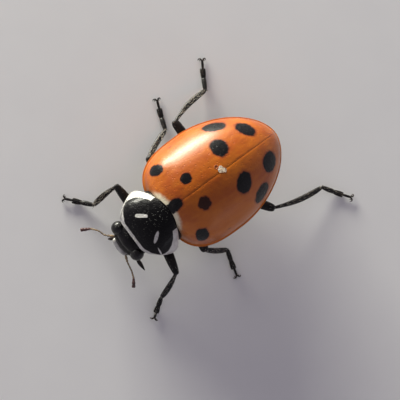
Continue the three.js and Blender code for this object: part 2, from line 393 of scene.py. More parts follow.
class Coat:
    """Fine bristles, gathered skin by skin and made one mesh. Each bristle's patch on the coat's map lies where
    its root does on an unwrap of its own skin, and each skin has a square of that map."""

    SIDES = 3
    PATCH = 0.003

    def __init__(self, name, skins):
        self.name = name
        self.across = math.ceil(math.sqrt(skins))
        self.skins = 0
        self.chance = random.Random(name)
        self.points, self.faces, self.map = [], [], []

    def grow(self, skin, count, length, lie, stand=0.35, thick=0.006, where=lambda point, normal: True):
        """Grows bristles on a skin, leaning from its surface towards the way they lie."""
        unwrapped = copied(skin, "unwrapped")
        with editing(unwrapped):
            everything()
            bpy.ops.uv.smart_project(angle_limit=math.radians(66), island_margin=0.02)
        mesh = unwrapped.data
        mesh.calc_loop_triangles()
        triangles = list(mesh.loop_triangles)
        flat = mesh.uv_layers.active.data
        column, row = self.skins % self.across, self.skins // self.across
        self.skins += 1
        left = count
        for triangle in self.chance.choices(triangles, [t.area for t in triangles], k=count * 5):
            a, b = sorted((self.chance.random(), self.chance.random()))
            shares = (a, b - a, 1 - b)
            root = sum((mesh.vertices[v].co * s for v, s in zip(triangle.vertices, shares)), Vector())
            if not where(root, triangle.normal):
                continue
            at = sum((flat[loop].uv * s for loop, s in zip(triangle.loops, shares)), Vector((0, 0)))
            at = ((column + 0.02 + 0.95 * at.x) / self.across, (row + 0.02 + 0.95 * at.y) / self.across)
            reach = self.chance.uniform(*length)
            self.bristle(root, triangle.normal, Vector(lie).normalized(), reach, stand, thick, at)
            left -= 1
            if not left:
                break
        removed(unwrapped)

    def bristle(self, root, normal, lie, reach, stand, thick, at):
        stray = Vector([self.chance.uniform(-0.22, 0.22) for _ in range(3)])
        rise = (normal * stand + lie * (1 - stand) + stray).normalized()
        middle = root + rise * reach * 0.55
        tip = middle + (rise * 0.6 + lie * 0.4).normalized() * reach * 0.45
        aside = rise.orthogonal().normalized()
        other = rise.cross(aside)
        first = len(self.points)
        rings = ((root - normal * thick, thick), (middle, thick * 0.6))
        for centre, radius in rings:
            for k in range(self.SIDES):
                angle = 2 * math.pi * k / self.SIDES
                self.points.append(centre + (aside * math.cos(angle) + other * math.sin(angle)) * radius)
        self.points.append(tip)
        for k in range(self.SIDES):
            after = (k + 1) % self.SIDES
            low, high = at[1], at[1] + self.PATCH / 2
            near = at[0] + self.PATCH * k / self.SIDES
            far = at[0] + self.PATCH * (k + 1) / self.SIDES
            ring = first + self.SIDES
            self.faces.append((first + k, first + after, ring + after, ring + k))
            self.map += [(near, low), (far, low), (far, high), (near, high)]
            self.faces.append((ring + k, ring + after, ring + self.SIDES))
            self.map += [(near, high), (far, high), (near, high + self.PATCH / 2)]

    def made(self):
        mesh = bpy.data.meshes.new(self.name)
        mesh.from_pydata(self.points, [], self.faces)
        layer = mesh.uv_layers.new(name="OFBake")
        layer.data.foreach_set("uv", [part for place in self.map for part in place])
        obj = bpy.data.objects.new(self.name, mesh)
        bpy.context.collection.objects.link(obj)
        return obj


# Looks.

def looks_of(name, **values):
    made = bpy.data.materials.new(name)
    made.use_nodes = True
    shader = made.node_tree.nodes["Principled BSDF"]
    for socket, value in values.items():
        shader.inputs[socket.replace("_", " ")].default_value = value
    return made


class Graph:
    """A material's nodes, each made by one call that gives its result."""

    def __init__(self, made):
        self.tree = made.node_tree
        self.shader = self.tree.nodes["Principled BSDF"]

    def node(self, kind, *values, out=0, **settings):
        made = self.tree.nodes.new("ShaderNode" + kind)
        for name, value in settings.items():
            setattr(made, name, value)
        self.fill(made.inputs, values)
        return made.outputs[out]

    def fill(self, sockets, values):
        for socket, value in zip(sockets, values):
            if isinstance(value, bpy.types.NodeSocket):
                self.tree.links.new(value, socket)
            elif value is not None:
                socket.default_value = value

    def maths(self, operation, *values):
        return self.node("Math", *values, operation=operation)

    def most(self, *values):
        result = values[0]
        for value in values[1:]:
            result = self.maths("MAXIMUM", result, value)
        return result

    def vector(self, operation, *values, out=0):
        return self.node("VectorMath", *values, operation=operation, out=out)

    def place(self):
        """Where the surface is, in millimetres from the middle of the wing cases."""
        here = self.node("TexCoord", out=3)
        return self.node("Mapping", here, (-SUTURE_X, -MIDDLE_Y, 0), (0, 0, 0), (1 / MM, 1 / MM, 1 / MM))

    def parts(self, place):
        made = self.tree.nodes.new("ShaderNodeSeparateXYZ")
        self.fill(made.inputs, (place,))
        return made.outputs

    def folded(self, place):
        """The same place with both sides of the beetle laid on its left side."""
        outward = self.vector("MULTIPLY", self.vector("ABSOLUTE", place), (1, 0, 0))
        return self.vector("ADD", outward, self.vector("MULTIPLY", place, (0, 1, 1)))

    def stray(self, place, per_mm, by):
        """The place strayed by a soft noise, for an uneven outline."""
        drift = self.vector("SUBTRACT", self.node("TexNoise", place, None, per_mm, 2.0, out=1), (0.5, 0.5, 0.5))
        return self.vector("ADD", place, self.vector("MULTIPLY", drift, (by, by, by)))

    def noise(self, place, per_mm, detail=2.0, roughness=0.5):
        return self.node("TexNoise", place, None, per_mm, detail, roughness)

    def cells(self, place, per_mm, out=0, **settings):
        return self.node("TexVoronoi", place, None, per_mm, out=out, **settings)

    def ramp(self, value, low, high, to_low=0.0, to_high=1.0):
        return self.node("MapRange", value, low, high, to_low, to_high, interpolation_type="SMOOTHSTEP")

    def mix(self, share, first, second):
        made = self.tree.nodes.new("ShaderNodeMix")
        made.data_type = "RGBA"
        self.fill((made.inputs[0], made.inputs[6], made.inputs[7]), (share, first, second))
        return made.outputs[2]

    def bump(self, height, depth_mm, normal=None):
        return self.node("Bump", 1.0, depth_mm * MM, None, height, normal)

    def patch(self, place, middle, halves, turn=0.0, soft=0.09, blunt=False):
        """1 inside a soft-edged oval, 0 outside. Its long side is turned from Y by a number of degrees, and a
        blunt one has squarer ends."""
        level = self.node("VectorRotate", place, middle, None, math.radians(-turn), rotation_type="Z_AXIS")
        shares = self.vector("DIVIDE", self.vector("SUBTRACT", level, middle), halves)
        if blunt:
            shares = self.vector("MULTIPLY", shares, shares)
        return self.ramp(self.vector("LENGTH", shares, out=1), 1 + soft, 1 - soft)

    def set(self, socket, value):
        self.tree.links.new(value, self.shader.inputs[socket])


def tint(red, green, blue):
    """A linear colour from the everyday 0 to 255 kind."""
    def linear(part):
        part /= 255
        return part / 12.92 if part <= 0.04045 else ((part + 0.055) / 1.055) ** 2.4
    return (linear(red), linear(green), linear(blue), 1.0)


BLACK = tint(11, 10, 12)
SOFT_BLACK = tint(27, 24, 24)

# The wing cases' spots: side, middle, half widths across, along and in height, and turn in degrees.
SPOTS = (
    ((-1.42, -1.48, 1.98), (0.21, 0.26, 0.42), -40),
    ((1.42, -1.50, 1.98), (0.27, 0.235, 0.45), 0),
    ((-0.53, -0.90, 2.63), (0.19, 0.21, 0.5), 0),
    ((0.54, -0.88, 2.63), (0.22, 0.22, 0.5), 0),
    ((-0.73, 0.74, 2.57), (0.34, 0.31, 0.5), 0),
    ((0.79, 0.73, 2.55), (0.285, 0.405, 0.5), 48),
    ((-1.50, 1.18, 1.95), (0.28, 0.43, 0.34), -28),
    ((1.50, 1.18, 1.95), (0.28, 0.43, 0.34), 28),
    ((-0.74, 2.03, 2.11), (0.27, 0.39, 0.45), -62),
    ((0.74, 2.05, 2.10), (0.33, 0.40, 0.4), 35),
    ((0.0, -1.74, 2.36), (0.22, 0.3, 0.4), 0),
)
FADED = 3
FAINT_SPOT = ((1.84, -0.52, 1.77), (0.07, 0.11, 0.12))


def wing_case_looks():
    looks = looks_of("lacquered_orange_shell", Coat_Roughness=0.33, Specular_IOR_Level=0.16)
    g = Graph(looks)
    place = g.place()
    about = g.stray(place, 4.5, 0.16)
    folded = g.folded(about)
    x, y, z = g.parts(place)

    spots = [g.patch(about, middle, halves, turn) for middle, halves, turn in SPOTS]
    halo = [g.patch(about, middle, [h * 1.12 for h in halves], turn, 0.14) for middle, halves, turn in SPOTS]
    spots[FADED] = g.maths("MULTIPLY", spots[FADED], 0.88)
    black = g.most(*spots)
    reddish = g.most(*halo, g.patch(folded, *FAINT_SPOT, soft=0.5))

    cloud = g.ramp(g.noise(place, 0.8, 3.0), 0.35, 0.68)
    orange = g.mix(cloud, tint(190, 100, 6), tint(166, 76, 6))
    veins = g.ramp(g.noise(g.vector("MULTIPLY", place, (5.0, 0.6, 5.0)), 1.0, 3.0), 0.4, 0.75, 0.0, 0.35)
    orange = g.mix(veins, orange, tint(204, 118, 18))
    # Painted light: the wing cases' margin is mixed towards a lighter orange to offset the shade in its groove and
    # on its flat flange.
    painted_rim_light = g.ramp(z, RIM_Z + 0.16, RIM_Z - 0.02)
    orange = g.mix(g.maths("MULTIPLY", painted_rim_light, 0.7), orange, tint(220, 132, 50))
    orange = g.mix(g.maths("MULTIPLY", reddish, 0.7), orange, tint(120, 40, 12))
    level = g.vector("MULTIPLY", about, (1, 1, 0))
    from_neck = g.vector("LENGTH", g.vector("SUBTRACT", level, (0, NECK_Y - NECK_BEND, 0)), out=1)
    base = g.ramp(from_neck, NECK_BEND + 0.23, NECK_BEND + 0.07)
    base = g.maths("MULTIPLY", base, g.ramp(g.maths("ABSOLUTE", x), 1.15, 0.45))
    orange = g.mix(base, orange, tint(233, 222, 192))
    g.set("Base Color", g.mix(black, orange, BLACK))
    g.set("Coat Weight", g.ramp(black, 0.0, 1.0, 0.7, 0.28))

    grain = g.noise(place, 26.0, 3.0, 0.6)
    rough = g.ramp(grain, 0.3, 0.7, 0.34, 0.5)
    g.set("Roughness", g.maths("SUBTRACT", rough, g.maths("MULTIPLY", black, 0.12)))
    pits = g.ramp(g.cells(place, 10.0), 0.06, 0.34)
    fine = g.noise(place, 60.0, 2.0)
    waves = g.noise(place, 1.6, 2.0)
    dents = g.noise(place, 5.0, 3.0)
    worn = g.bump(dents, 0.011, g.bump(waves, 0.03))
    g.set("Normal", g.bump(pits, 0.008, g.bump(fine, 0.0012, worn)))
    return looks


def shield_looks():
    looks = looks_of("shield_black_and_white", Coat_Weight=0.17, Coat_Roughness=0.05, Specular_IOR_Level=0.12)
    g = Graph(looks)
    place = g.place()
    about = g.stray(place, 6.0, 0.04)
    x, y, z = g.parts(about)
    disc = g.patch(about, (0, -2.82, 0), (1.16, 0.68, 10), soft=0.015)
    disc = g.maths("MULTIPLY", disc, g.ramp(y, -3.435, -3.41))
    neck = g.patch(about, (0, -2.2, 0), (0.66, 0.6, 10), soft=0.03, blunt=True)
    dashes = g.most(
        g.patch(about, (-0.415, -2.855, 0), (0.066, 0.205, 10), -40, 0.12, blunt=True),
        g.patch(about, (0.5, -2.87, 0), (0.062, 0.21, 10), 40, 0.16),
        g.patch(about, (1.0, -3.01, 0), (0.024, 0.15, 10), 90, 0.3),
    )
    black = g.maths("MULTIPLY", g.most(disc, neck), g.maths("SUBTRACT", 1.0, dashes))
    white = g.mix(g.ramp(g.noise(place, 3.0, 3.0), 0.35, 0.7), tint(224, 222, 217), tint(202, 200, 195))
    g.set("Base Color", g.mix(black, white, BLACK))
    g.set("Roughness", g.ramp(g.noise(place, 24.0, 3.0), 0.3, 0.7, 0.28, 0.46))
    pits = g.ramp(g.cells(place, 12.0), 0.05, 0.36)
    g.set("Normal", g.bump(pits, 0.032, g.bump(g.noise(place, 7.0, 2.0), 0.02)))
    return looks


def black_shell_looks(name="black_shell", coat=0.2):
    looks = looks_of(name, Coat_Weight=coat, Coat_Roughness=0.08, Specular_IOR_Level=0.16)
    g = Graph(looks)
    place = g.place()
    g.set("Base Color", g.mix(g.ramp(g.noise(place, 4.0), 0.4, 0.7), BLACK, SOFT_BLACK))
    g.set("Roughness", g.ramp(g.noise(place, 18.0, 3.0), 0.3, 0.7, 0.24, 0.4))
    pits = g.ramp(g.cells(place, 16.0), 0.06, 0.36)
    g.set("Normal", g.bump(pits, 0.008, g.bump(g.noise(place, 6.0, 2.0), 0.03)))
    return looks


def eye_looks():
    looks = looks_of("eye_facets", Roughness=0.24, Coat_Weight=0.4, Coat_Roughness=0.06, Specular_IOR_Level=0.2)
    g = Graph(looks)
    place = g.place()
    facets = g.cells(place, 38.0, feature="DISTANCE_TO_EDGE")
    g.set("Base Color", g.mix(g.ramp(facets, 0.0, 0.14), tint(6, 6, 7), tint(20, 17, 17)))
    g.set("Normal", g.bump(g.ramp(facets, 0.0, 0.3), 0.003))
    return looks


def chitin_looks(name, base, other, rough=0.4, coat=0.25):
    """Bare dull shell of the limbs and the underside, finely wrinkled and patchy."""
    looks = looks_of(name, Coat_Weight=coat, Coat_Roughness=0.25, Specular_IOR_Level=0.3)
    g = Graph(looks)
    place = g.place()
    g.set("Base Color", g.mix(g.ramp(g.noise(place, 3.5, 3.0), 0.38, 0.7), base, other))
    g.set("Roughness", g.ramp(g.noise(place, 22.0, 3.0), 0.3, 0.7, rough - 0.08, rough + 0.12))
    wrinkles = g.noise(place, 28.0, 3.0)
    g.set("Normal", g.bump(wrinkles, 0.006, g.bump(g.ramp(g.cells(place, 18.0), 0.05, 0.4), 0.003)))
    return looks


def breast_looks():
    looks = chitin_looks("breast_black_and_pale", BLACK, SOFT_BLACK, 0.45)
    g = Graph(looks)
    place = g.folded(g.stray(g.place(), 6.0, 0.06))
    pale = g.most(g.patch(place, (1.36, -1.52, 0.8), (0.24, 0.34, 0.4), 20),
                  g.patch(place, (1.52, 0.1, 0.86), (0.1, 0.22, 0.25), 10))
    old = looks.node_tree.nodes["Principled BSDF"].inputs["Base Color"].links[0].from_socket
    g.set("Base Color", g.mix(pale, old, tint(214, 204, 182)))
    return looks


def labrum_looks():
    looks = looks_of("lip_pale", Coat_Weight=0.4, Coat_Roughness=0.2)
    g = Graph(looks)
    place = g.place()
    x, y, z = g.parts(place)
    edge = g.ramp(z, 0.705, 0.675)
    pale = g.mix(g.ramp(g.noise(place, 5.0, 3.0), 0.35, 0.7), tint(200, 198, 194), tint(164, 162, 160))
    g.set("Base Color", g.mix(edge, pale, SOFT_BLACK))
    g.set("Roughness", g.ramp(g.noise(place, 24.0), 0.3, 0.7, 0.35, 0.5))
    g.set("Normal", g.bump(g.noise(place, 30.0, 2.0), 0.004))
    return looks


SCAR_AT = (-0.075, 0.275)
SCAR_RING_AT = (-0.245, 0.19)


def scar_looks():
    looks = chitin_looks("scar_pale", tint(240, 234, 220), tint(214, 188, 156), 0.4)
    g = Graph(looks)
    ring = g.patch(g.place(), (*SCAR_RING_AT, CROWN_Z), (0.1, 0.1, 0.3), soft=0.1)
    pale = looks.node_tree.nodes["Principled BSDF"].inputs["Base Color"].links[0].from_socket
    g.set("Base Color", g.mix(ring, pale, tint(196, 112, 74)))
    return looks


LOOKS = Form(
    wing_case=wing_case_looks(),
    shield=shield_looks(),
    black_shell=black_shell_looks(),
    leg=chitin_looks("leg_black", tint(12, 10, 10), tint(30, 24, 21), 0.4, 0.15),
    claw=chitin_looks("claw_brown", tint(40, 26, 20), tint(18, 14, 13), 0.3),
    breast=breast_looks(),
    belly=chitin_looks("belly_black", tint(24, 20, 19), tint(56, 42, 34), 0.45),
    feeler=chitin_looks("feeler_tan", tint(150, 128, 98), tint(112, 98, 80)),
    club=chitin_looks("club_brown", tint(92, 60, 58), tint(50, 34, 34)),
    palp=chitin_looks("palp_dark", tint(46, 34, 28), tint(24, 20, 18)),
    labrum=labrum_looks(),
    eye=eye_looks(),
    hair=chitin_looks("bristle_pale", tint(222, 214, 200), tint(128, 116, 100), 0.3, 0.0),
    scar=scar_looks(),
)

# The wing cases.
MARGIN = 0.06
DOME = Form(
    at=(0, WIDEST_Y, RIM_Z), half=HALF - MARGIN, up=CROWN_Z - RIM_Z, down=1, crown=-0.2,
    plan=((2.25 - MARGIN, 3.2), (TIP_Y - WIDEST_Y - MARGIN, 1.8)),
    profile=((2.45, 2), (TIP_Y + 0.2 - MARGIN, 1.9)),
)


def neck_cutter(radius):
    bpy.ops.mesh.primitive_cylinder_add(
        vertices=240, radius=radius, depth=8, location=(0, NECK_Y - NECK_BEND, 1))
    return named("neck_cutter")


def ahead_of_neck(point):
    return math.hypot(point.x, point.y - NECK_Y + NECK_BEND) < NECK_BEND + CUT - 1e-5


def wing_cases():
    case = lofted("wing_case_left", DOME, 144, 96, keep=((0, 0, 1), (1, 0, 0)))
    centre = (0, WIDEST_Y, RIM_Z)
    with editing(case):
        pick(lambda v: (v.co - Vector((1.42, -1.3, 1.95))).length < 0.12)
        swell((0.03, -0.01, 0.035), 0.55)
        pick(lambda e: all(v.co.z < RIM_Z + 1e-3 for v in e.verts), "EDGE")
        extrude((0, 0, -0.012))
        resize((1 + MARGIN * 0.55 / HALF, 1 + MARGIN * 0.55 / TIP_Y, 1), centre)
        extrude((0, 0, 0.008))
        resize((1 + MARGIN * 0.45 / HALF, 1 + MARGIN * 0.45 / TIP_Y, 1), centre)
        extrude((0, 0, -0.02))
        resize((1.003, 1.003, 1), centre)
        extrude((0, 0, -0.03))
        resize((0.994, 0.996, 1), centre)
        extrude((0, 0, 0.012))
        resize((0.86, 0.93, 1), centre)
        extrude((0, 0, 0.08))
        resize((0.985, 0.99, 1), centre)
        everything()
        move((CUT / 2, 0, 0))
    outwards(case)
    case = trimmed(case, neck_cutter(NECK_BEND + CUT), "wing_case_left", ahead_of_neck)
    thickened(case, 0.035, 0.01)
    other = copied(case, "wing_case_right", mirror=True)
    settled(case, LOOKS.wing_case, ["elytron_left"], 35)
    settled(other, LOOKS.wing_case, ["elytron_right"], 35)


def seam_lining():
    """The dark strip below the seam, where one wing case laps under the other."""
    strip = lofted("wing_case_lining", DOME, 96, 96, keep=((0, 0, 1),))
    with editing(strip):
        for direction in ((1, 0, 0), (-1, 0, 0)):
            everything()
            bpy.ops.mesh.bisect(plane_co=[-0.07 * part for part in direction], plane_no=direction, clear_inner=True)
        everything()
        bpy.ops.mesh.bisect(plane_co=(0, NECK_Y + 0.05, 0), plane_no=(0, 1, 0), clear_inner=True)
        everything()
        move((0, -0.02, -0.05))
    outwards(strip)
    thickened(strip, 0.03)
    settled(strip, LOOKS.wing_case)


def scutellum_and_scar():
    form = lofted("form", DOME, 96, 64)
    half, length = 0.2, 0.3
    rows = [(NECK_Y + 0.01 + length * k / 8, half * (1 - k / 8) ** 0.8 + 0.012) for k in range(9)]
    plate = spread("scutellum_plate", 8, [(y, w) for y, w in rows])
    with editing(plate):
        everything()
        move((0, 0, 3))
    draped(plate, form)
    with editing(plate):
        everything()
        move((0, 0, 0.012))
    thickened(plate, 0.05, 0.01)
    settled(plate, LOOKS.black_shell, ["scutellum"])

    x, y = SCAR_AT
    bpy.ops.mesh.primitive_circle_add(vertices=14, radius=0.112, fill_type="TRIFAN", location=(x, y, 4))
    scar = named("scar_flake")
    bpy.ops.object.transform_apply(location=True)
    with editing(scar):
        pick(lambda v: v.co.x - x + v.co.y - y > 0.1)
        move((0.075, 0.06, 0))
        pick(lambda v: v.co.x - x < -0.05)
        move((-0.02, 0.02, 0))
        everything()
        bpy.ops.mesh.subdivide(number_cuts=2)
        bpy.ops.transform.vertex_random(offset=0.022, seed=4)
        resize((1, 1, 0), (0, 0, 4))
    draped(scar, form)
    with editing(scar):
        everything()
        move((0, 0, 0.014))
        bpy.ops.transform.vertex_random(offset=0.012, seed=7)
    outwards(scar)
    thickened(scar, 0.026)
    found, at, normal, face = form.ray_cast((*SCAR_RING_AT, 4), (0, 0, -1))
    bpy.ops.mesh.primitive_torus_add(
        major_segments=22, minor_segments=8, major_radius=0.062, minor_radius=0.015, location=at)
    ring = named("scar_ring")
    bpy.ops.object.transform_apply(location=True)
    with editing(ring):
        everything()
        bpy.ops.transform.vertex_random(offset=0.006, seed=3)
    settled(joined("scar", [scar, ring]), LOOKS.scar)
    removed(form)


# The neck shield.
SHIELD_HALF = 1.285
SHIELD_WIDEST_Y = -2.6
SHIELD_FRONT_Y = -3.48
SHIELD_REAR = (0.56, 2.6)
NECK_HALF = 0.72
SHIELD_FRONT = (SHIELD_WIDEST_Y - SHIELD_FRONT_Y, 9)
TAPER_Y = -2.5
TAPER = 0.5


def shield_half_at(y):
    """Half width: a full front edge, sides that taper to its corners, round shoulders and the neck's curve."""
    along = y - SHIELD_WIDEST_Y
    side = SHIELD_HALF - TAPER * max(0, TAPER_Y - y) ** 1.5
    side *= fullness(along, SHIELD_REAR if along > 0 else SHIELD_FRONT)
    behind = math.sqrt(max(0, NECK_BEND ** 2 - (y - NECK_Y + NECK_BEND) ** 2))
    return max(0.1, min(max(side, NECK_HALF if along > 0 else 0), behind))


def on_neck_edge(point, slack=0.02):
    return math.hypot(point.x, point.y - NECK_Y + NECK_BEND) > NECK_BEND - slack


def neck_shield():
    rows = []
    count = 56
    for k in range(count + 1):
        y = SHIELD_FRONT_Y + (NECK_Y - SHIELD_FRONT_Y) * (1 - math.cos(math.pi * k / count)) / 2
        rows.append((y, shield_half_at(y)))
    plate = spread("neck_shield", 72, rows)
    with editing(plate):
        pick(lambda v: (v.co - Vector((0.86, -3.38, 1))).length < 0.08)
        swell((-0.02, 0.045, 0), 0.4)
        everything()
        move((0, 0, 3))
    vault = Form(at=(0, -2.75, 0.92), half=1.325, up=1.28, down=0.5, crown=-2.0, section=2.15,
                 plan=((2.2, 2.4), (0.86, 3)), profile=((1.65, 2.2), (1.3, 2.4)))
    form = lofted("form", vault, 120, 120)
    draped(plate, form)
    removed(form)
    bead = bead_along(plate, is_rim_edge, 0.024)
    thickened(plate, 0.06, 0.012)
    plate = joined("neck_shield", [plate, bead])
    settled(plate, LOOKS.shield, ["pronotum"])


def is_rim_edge(edge):
    return edge.is_boundary and not all(on_neck_edge(v.co) for v in edge.verts)


# The head.
HEAD = Form(at=(0, -3.42, 1.0), half=0.72, up=0.38, down=0.42, crown=-3.42,
            plan=((0.42, 2.3), (0.42, 2)), profile=((0.46, 2), (0.44, 2)))
MUZZLE_AT, MUZZLE_RADII = (0, -3.68, 0.84), (0.57, 0.26, 0.29)
EYE_AT, EYE_RADII = (0.56, -3.61, 1.05), (0.25, 0.255, 0.27)


def head():
    capsule = lofted("head_capsule", HEAD, 64, 40)
    muzzle = ball("muzzle", MUZZLE_AT, MUZZLE_RADII, 48, 32)
    cut_by(capsule, muzzle, "UNION")
    modified(capsule, "REMESH", mode="VOXEL", voxel_size=0.022)
    modified(capsule, "SMOOTH", factor=0.5, iterations=8)
    settled(capsule, LOOKS.black_shell, ["head"], 180)
    for side, sign in SIDES.items():
        eye = ball("eye_ball_" + side, mirrored(EYE_AT, sign), EYE_RADII, 48, 32)
        settled(eye, LOOKS.eye, ["eye_" + side])


def mouthparts():
    lip = lofted("lip", Form(at=(0, -3.9, 0.72), half=0.36, up=0.1, down=0.1, crown=-3.9,
                             plan=((0.14, 2.6), (0.2, 2.2)), profile=((0.15, 2), (0.22, 2))), 40, 24)
    settled(lip, LOOKS.labrum, ["labrum"])
    for side, sign in SIDES.items():
        jaw = rod("jaw_" + side, [mirrored(p, sign) for p in ((0.34, -3.7, 0.5), (0.27, -3.86, 0.5), (0.08, -3.96, 0.52))],
                  (0.12, 0.1, 0.02), 12)
        settled(jaw, LOOKS.claw, ["mandible_" + side])


PALPS = {
    "left": ((0.42, -3.6, 0.56), (0.72, -3.62, 0.42), (1.22, -3.62, 0.36)),
    "right": ((0.4, -3.62, 0.5), (0.36, -3.8, 0.36), (0.47, -4.02, 0.26)),
}


def palps():
    for side, sign in SIDES.items():
        root, joint, tip = (mirrored(p, sign) for p in PALPS[side])
        reach = (joint - root).length
        stalk = turned("stalk", [(0, 0.05, 0.05), (reach * 0.4, 0.06, 0.055), (reach * 0.5, 0.042, 0.042),
                                 (reach * 0.6, 0.055, 0.05), (reach * 1.05, 0.045, 0.045)])
        laid(stalk, root, joint)
        reach = (tip - joint).length
        axe = turned("axe", [(0, 0.03, 0.03), (reach * 0.12, 0.07, 0.045), (reach * 0.35, 0.085, 0.05),
                             (reach * 0.65, 0.06, 0.04), (reach * 0.92, 0.025, 0.025), (reach, 0.008, 0.01)])
        laid(axe, joint, tip)
        palp = joined("palp_axe_" + side, [stalk, axe])
        subdivided(palp, 1)
        settled(palp, LOOKS.palp, ["palp_" + side])


FEELERS = {
    "left": ((0.37, -3.94, 0.84), (0.6, -4.03, 0.82), (0.97, -4.09, 0.76), (1.21, -4.18, 0.7), (1.47, -4.37, 0.66)),
    "right": ((0.4, -3.86, 0.86), (0.52, -3.99, 0.83), (0.65, -4.13, 0.8), (0.875, -4.17, 0.76), (1.12, -4.36, 0.7),
              (1.3, -4.68, 0.66)),
}


def along_path(points, share):
    """A point at a share of the way along a chain of points."""
    lengths = [(b - a).length for a, b in zip(points, points[1:])]
    left = share * sum(lengths)
    for start, end, length in zip(points, points[1:], lengths):
        if left <= length:
            return start.lerp(end, left / length)
        left -= length
    return points[-1]


# A feeler's joints: where each ends along it, and its half width.
FEELER_JOINTS = ((0.0, 0.13, 0.052), (0.13, 0.2, 0.045), (0.2, 0.32, 0.034), (0.32, 0.42, 0.033),
                 (0.42, 0.51, 0.033), (0.51, 0.59, 0.034), (0.59, 0.66, 0.036), (0.66, 0.72, 0.04))
CLUB_JOINTS = ((0.72, 0.81, 0.05), (0.8, 0.91, 0.068), (0.895, 1.0, 0.072))


def strung(name, path, joints, waist):
    """Joints strung along a path. The waist is the share of its width that a joint has at its ends."""
    beads = []
    for start, end, half in joints:
        foot, top = along_path(path, start), along_path(path, end)
        reach = (top - foot).length
        stations = ((-0.04, waist * 0.8), (0.15, waist), (0.6, 1), (0.88, 0.96), (0.99, waist * 0.9), (1.03, 0.5))
        bead = turned("bead", [(share * reach, half * width, half * width) for share, width in stations], 12)
        beads.append(laid(bead, foot, top))
    made = joined(name, beads)
    subdivided(made, 1)
    return made


def feelers():
    for side, sign in SIDES.items():
        path = [mirrored(p, sign) for p in FEELERS[side]]
        stem = strung("feeler_" + side, path, FEELER_JOINTS, 0.78)
        club = strung("feeler_club_" + side, path, CLUB_JOINTS, 0.84)
        settled(stem, LOOKS.feeler, ["antenna_" + side])
        settled(club, LOOKS.club, ["antenna_club_" + side])


# The underside.
BODY = Form(at=(0, WIDEST_Y, RIM_Z - 0.04), half=HALF - 0.27, up=0.6, down=RIM_Z - 0.04 - BELLY_Z, crown=-0.2,
            plan=((2.1, 3.2), (TIP_Y - WIDEST_Y - 0.22, 1.9)), profile=((2.4, 2.6), (TIP_Y + 0.2 - 0.2, 2.2)))
BREAST_CUT_Y = -1.12
HIND_CUT_Y = 0.42
BELLY_PLATES = 6


def slice_of(form_obj, name, low, high):
    """The part of a form between two planes across the body, closed."""
    piece = copied(form_obj, name)
    with editing(piece):
        everything()
        bpy.ops.mesh.bisect(plane_co=(0, low, 0), plane_no=(0, 1, 0), clear_inner=True, use_fill=True)
        everything()
        bpy.ops.mesh.bisect(plane_co=(0, high, 0), plane_no=(0, -1, 0), clear_inner=True, use_fill=True)
        everything()
        bpy.ops.mesh.normals_make_consistent(inside=False)
    return piece


def underside():
    body = lofted("body", BODY, 96, 72)
    middle = slice_of(body, "middle_breast", -2.0, BREAST_CUT_Y - CUT)
    hind = slice_of(body, "hind_breast", BREAST_CUT_Y + CUT, HIND_CUT_Y)
    settled(middle, LOOKS.breast, ["mesothorax"])
    settled(hind, LOOKS.breast, ["metathorax"])
    end = TIP_Y - 0.15
    span = end - HIND_CUT_Y
    edges = [HIND_CUT_Y + span * (k / BELLY_PLATES) ** 0.82 for k in range(BELLY_PLATES + 1)]
    for k, (low, high) in enumerate(zip(edges, edges[1:])):
        plate = slice_of(body, f"belly_plate_{k + 1}", low, high + 0.03)
        with editing(plate):
            pick(lambda v: v.co.y > high + 0.02)
            resize((1.012, 1, 1.05), (0, high, RIM_Z))
        modified(plate, "BEVEL", width=0.012, segments=2, limit_method="ANGLE", angle_limit=math.radians(50))
        settled(plate, LOOKS.belly, [f"abdomen_plate_{k + 1}"])
    removed(body)
    fore = lofted("fore_breast", Form(
        at=(0, -2.62, 1.1), half=1.19, up=0.74, down=1.1 - BELLY_Z, crown=-2.3, section=2.4,
        plan=((0.74, 2.2), (0.72, 2.4)), profile=((1.1, 2.4), (0.8, 2.6))), 72, 48)
    settled(fore, LOOKS.belly, ["prothorax"])
    neck = ball("neck", (0, -2.12, 1.3), (1.06, 0.36, 0.76), 40, 24)
    settled(neck, LOOKS.black_shell)


# The legs. X is counted outwards from the middle of the body, on either side.
HIPS = {"front": (0.42, -2.62, 0.66), "middle": (0.62, -1.12, 0.66), "hind": (0.66, 0.42, 0.66)}
ROOTS = {"front_left": (0.12, 0.15, 0)}
HIP_RADII = {"front": (0.36, 0.22, 0.2), "middle": (0.38, 0.22, 0.2), "hind": (0.44, 0.2, 0.19)}
STANCE = {
    "front_left": ((1.97, -2.84, 0.85), (2.35, -3.7), (2.82, -4.36)),
    "front_right": ((1.83, -2.72, 0.85), (1.75, -3.68), (2.6, -4.42)),
    "middle_left": ((1.92, -1.5, 0.82), (2.38, -0.72), (3.4, -0.99)),
    "middle_right": ((1.97, -1.15, 0.82), (2.42, 0.05), (3.54, 0.51)),
    "hind_left": ((2.17, 1.46, 0.78), (2.61, 3.5), (3.6, 4.23)),
    "hind_right": ((2.46, 0.39, 0.82), (2.74, 2.12), (3.76, 2.76)),
}
ANKLE_Z = 0.24

